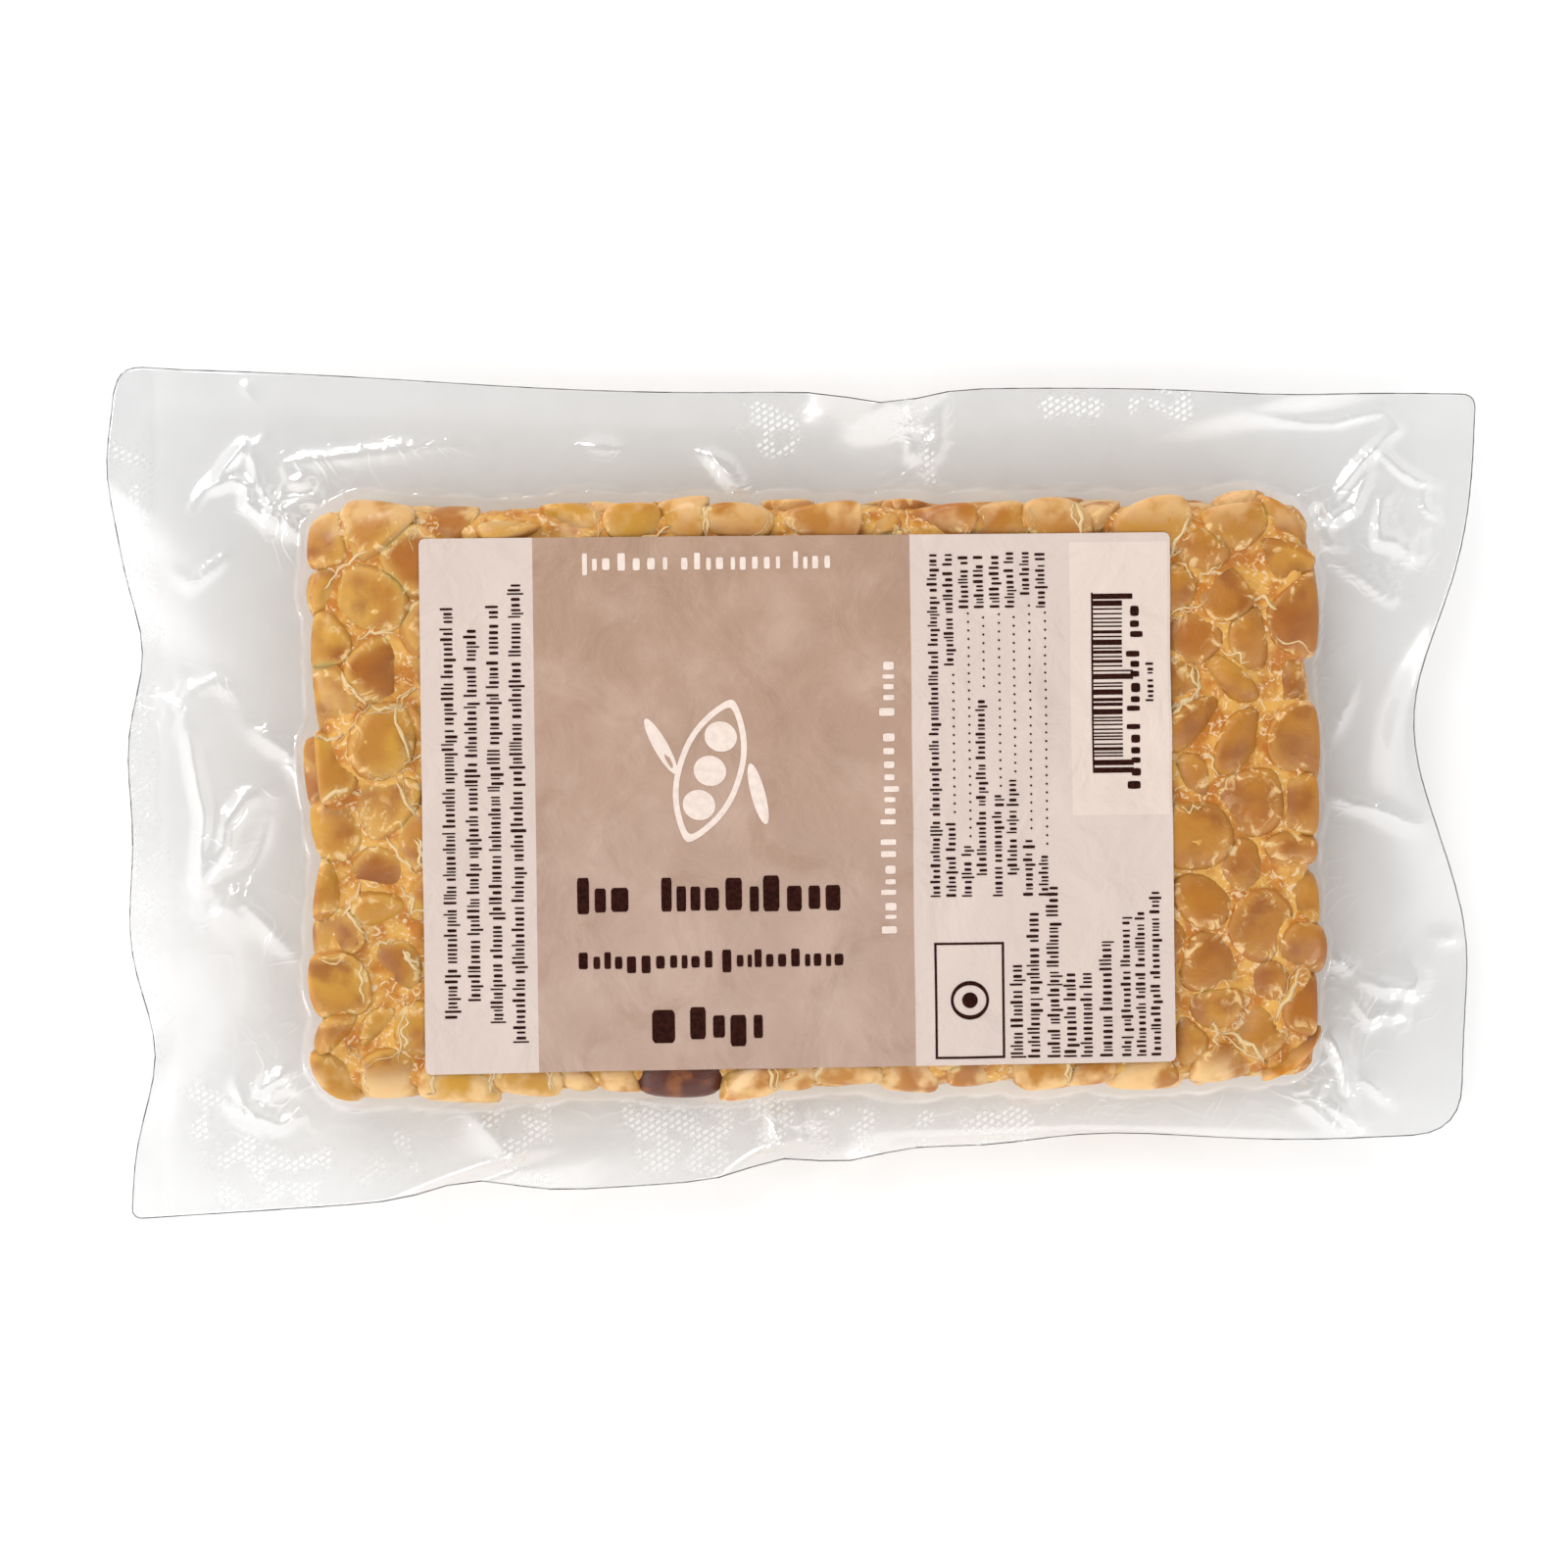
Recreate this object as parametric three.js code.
// A cake of tempeh, sealed under vacuum in a clear film bag, with a paper label on its front.
// Millimetres, +Z up. The pack lies on its back: X runs along the cake, Y across it.
// The origin is on the resting face, under the middle of the bag's outline.
import * as THREE from "three";

// Driving dimensions
const CAKE = { left: -69.6, right: 73.4, bottom: -43.7, top: 40.4, height: 18 };
const CAKE_CORNERS = { bottomLeft: 6, bottomRight: 9, topRight: 10, topLeft: 5 };
const BAG_CORNERS = [
  { x: -95.7, y: -60.1, radius: 1.5 }, // bottom left
  { x: 94.3, y: -51.4, radius: 7 }, // bottom right
  { x: 97.65, y: 55.0, radius: 2 }, // top right
  { x: -96.6, y: 60.1, radius: 4 }, // top left
];
const LABEL = { x: -1.1, y: -2.4, length: 105, width: 74.4, corner: 0.8, thickness: 0.2 };
const SEAL_HEIGHT = 9; // middle of the sealed border above the resting face
const BORDER_THICKNESS = 0.6;

// Where the vacuum has pulled the bag's cut edge in, one list for each side, in the order of the corners.
// at is the place along the side from its middle, anticlockwise; in is how far the edge is drawn in, or out
// where it is negative; reach is the half width of the pull; lift is how far the border rises there.
const PULLS = [
  [
    { at: -47, in: 2.5, reach: 8, lift: 2.6 },
    { at: -3, in: 2.7, reach: 7, lift: 3.0 },
    { at: 15, in: 1.8, reach: 10, lift: -1.2 },
    { at: 41, in: 3.0, reach: 22, lift: -1.8 },
  ],
  [
    { at: -26, in: -1.1, reach: 10, lift: -1.0 },
    { at: 6, in: 8.7, reach: 20, lift: 2.6 },
  ],
  [
    { at: -68, in: 0.7, reach: 12, lift: 1.2 },
    { at: -12, in: 2.2, reach: 7, lift: 3.4 },
    { at: 22, in: 1.8, reach: 42, lift: -1.6 },
  ],
  [
    { at: -46, in: -1.1, reach: 8, lift: 1.6 },
    { at: -20, in: 2.8, reach: 10, lift: -1.4 },
    { at: 6, in: 1.3, reach: 11, lift: 1.0 },
    { at: 37, in: 3.3, reach: 11, lift: -2.0 },
  ],
];

// How the film leaves the cake: distance outside the cake's side, and height as a share of the way from the
// sealed border to the top of the cake, or down to its underside.
const FILM_PROFILE = [
  { out: 6, rise: 0 },
  { out: 2.6, rise: 0.07 },
  { out: 0.9, rise: 0.33 },
  { out: 0.1, rise: 0.72 },
  { out: -0.9, rise: 0.93 },
  { out: -2.9, rise: 1 },
];
const BORDER_RINGS = 5; // between the cut edge and the foot of the film
const FLAT_RINGS = [0.62, 0.26]; // shares of the cake's outline on its flat faces
const STEPS = { side: 38, corner: 6 };
const BEAN = { pitch: 9.4, height: 0.55 }; // the soybeans' bumps round the cake's sides

const FILM_COLOUR = 0xdfe0df;
const LABEL_COLOUR = 0xcbaf9e;

const smooth = (share) => share * share * (3 - 2 * share);
const bell = (distance, reach) => Math.exp(-((distance / reach) ** 2));

// Points round a four-cornered outline with round corners, anticlockwise from the bottom left corner. Each has
// its inward direction and the side that it is on, so that two outlines can be matched point by point.
function roundedOutline(corners) {
  const points = [];
  corners.forEach((corner, index) => {
    const before = corners[(index + 3) % 4];
    const after = corners[(index + 1) % 4];
    const here = new THREE.Vector2(corner.x, corner.y);
    const arriving = here.clone().sub(new THREE.Vector2(before.x, before.y)).normalize();
    const leaving = new THREE.Vector2(after.x, after.y).sub(here);
    const sideLength = leaving.length();
    leaving.normalize();
    const arcStart = here.clone().addScaledVector(arriving, -corner.radius);
    const arcEnd = here.clone().addScaledVector(leaving, corner.radius);
    const arc = new THREE.QuadraticBezierCurve(arcStart, here, arcEnd);
    for (let step = 0; step < STEPS.corner; step++) {
      const tangent = arc.getTangent(step / STEPS.corner);
      const inward = new THREE.Vector2(-tangent.y, tangent.x);
      points.push({ place: arc.getPoint(step / STEPS.corner), inward, side: index, along: -sideLength / 2 });
    }
    const run = sideLength - corner.radius - after.radius;
    for (let step = 0; step < STEPS.side; step++) {
      const distance = (run * step) / STEPS.side;
      const place = arcEnd.clone().addScaledVector(leaving, distance);
      const inward = new THREE.Vector2(-leaving.y, leaving.x);
      points.push({ place, inward, side: index, along: corner.radius + distance - sideLength / 2 });
    }
  });
  return points;
}

// The bag's cut edge, drawn in by the pulls, and how far the border lifts at each point of it.
function bagEdge() {
  return roundedOutline(BAG_CORNERS).map(({ place, inward, side, along }) => {
    const pulls = PULLS[side].map((pull) => ({ ...pull, share: bell(along - pull.at, pull.reach) }));
    const drawnIn = pulls.reduce((sum, pull) => sum + pull.in * pull.share, 0);
    const lift = pulls.reduce((sum, pull) => sum + pull.lift * pull.share, 0);
    return { place: place.clone().addScaledVector(inward, drawnIn), lift };
  });
}

// The cake's sides in plan.
function cakeOutline() {
  return roundedOutline([
    { x: CAKE.left, y: CAKE.bottom, radius: CAKE_CORNERS.bottomLeft },
    { x: CAKE.right, y: CAKE.bottom, radius: CAKE_CORNERS.bottomRight },
    { x: CAKE.right, y: CAKE.top, radius: CAKE_CORNERS.topRight },
    { x: CAKE.left, y: CAKE.top, radius: CAKE_CORNERS.topLeft },
  ]);
}

// Soybeans push the film out unevenly round the cake. They fade out on the flat faces and on the border.
function beanBump(place, rise) {
  const turn = (2 * Math.PI) / BEAN.pitch;
  const first = Math.sin(turn * place.x + 1.7 * Math.sin(place.y / 7));
  const second = Math.sin(turn * place.y * 0.9 + 1.3 * Math.sin(place.x / 9));
  return (BEAN.height * (first + second) * Math.sin(Math.PI * Math.min(rise, 1))) / 1.4;
}

// Rings of points from the cut edge inwards, over the front or under the back of the pack.
function rings(edge, cake, front) {
  const face = front ? CAKE.height : 0;
  const skin = ((front ? 1 : -1) * BORDER_THICKNESS) / 2;
  const foot = FILM_PROFILE[0].out;
  const found = [];
  for (let ring = 0; ring < BORDER_RINGS; ring++) {
    const share = ring / BORDER_RINGS;
    found.push(
      edge.map(({ place, lift }, index) => {
        const inner = cake[index].place.clone().addScaledVector(cake[index].inward, -foot);
        const flat = place.clone().lerp(inner, share);
        const height = SEAL_HEIGHT + lift * (1 - smooth(share)) + skin;
        return new THREE.Vector3(flat.x, flat.y, height);
      }),
    );
  }
  for (const { out, rise } of FILM_PROFILE) {
    found.push(
      cake.map(({ place, inward }) => {
        const bump = beanBump(place, rise);
        const flat = place.clone().addScaledVector(inward, -out - bump);
        const height = THREE.MathUtils.lerp(SEAL_HEIGHT + skin, face, rise);
        return new THREE.Vector3(flat.x, flat.y, height);
      }),
    );
  }
  const centre = new THREE.Vector2((CAKE.left + CAKE.right) / 2, (CAKE.bottom + CAKE.top) / 2);
  for (const share of FLAT_RINGS) {
    found.push(
      cake.map(({ place }) => {
        const flat = centre.clone().lerp(place, share);
        return new THREE.Vector3(flat.x, flat.y, face);
      }),
    );
  }
  return found;
}

// One closed skin: the front's rings from the middle out to the cut edge, then the back's rings in again.
function bagGeometry() {
  const edge = bagEdge();
  const cake = cakeOutline();
  const columns = edge.length;
  const bands = [...rings(edge, cake, true).reverse(), ...rings(edge, cake, false)];
  const middleX = (CAKE.left + CAKE.right) / 2;
  const middleY = (CAKE.bottom + CAKE.top) / 2;
  const points = [...bands.flat()];
  const top = points.push(new THREE.Vector3(middleX, middleY, CAKE.height)) - 1;
  const base = points.push(new THREE.Vector3(middleX, middleY, 0)) - 1;
  const faces = [];
  for (let column = 0; column < columns; column++) {
    const next = (column + 1) % columns;
    const last = (bands.length - 1) * columns;
    faces.push(top, column, next);
    for (let band = 0; band + 1 < bands.length; band++) {
      const inner = band * columns;
      const outer = inner + columns;
      faces.push(inner + column, outer + column, outer + next);
      faces.push(inner + column, outer + next, inner + next);
    }
    faces.push(base, last + next, last + column);
  }
  return new THREE.BufferGeometry().setFromPoints(points).setIndex(faces);
}

// A thin paper rectangle with slightly round corners.
function labelGeometry() {
  const { length, width, corner, thickness } = LABEL;
  const right = length / 2;
  const top = width / 2;
  const shape = new THREE.Shape();
  shape.absarc(right - corner, top - corner, corner, 0, Math.PI / 2);
  shape.absarc(corner - right, top - corner, corner, Math.PI / 2, Math.PI);
  shape.absarc(corner - right, corner - top, corner, Math.PI, 1.5 * Math.PI);
  shape.absarc(right - corner, corner - top, corner, 1.5 * Math.PI, 2 * Math.PI);
  return new THREE.ExtrudeGeometry(shape, { depth: thickness, bevelEnabled: false, curveSegments: 5 });
}

function filmMaterial() {
  return new THREE.MeshStandardMaterial({ color: FILM_COLOUR, roughness: 0.15, metalness: 0 });
}

function paperMaterial() {
  return new THREE.MeshStandardMaterial({ color: LABEL_COLOUR, roughness: 0.6, metalness: 0 });
}

// The bag with the cake inside it, as one solid out to the film.
function vacuumBag() {
  const bag = new THREE.Mesh(bagGeometry(), filmMaterial());
  bag.name = "vacuum_bag";
  return bag;
}

// The label, stuck on the film over the cake's front.
function frontLabel() {
  const label = new THREE.Mesh(labelGeometry(), paperMaterial());
  label.name = "front_label";
  label.position.set(LABEL.x, LABEL.y, CAKE.height);
  return label;
}

const pack = new THREE.Group();
pack.add(vacuumBag(), frontLabel());

export default pack;
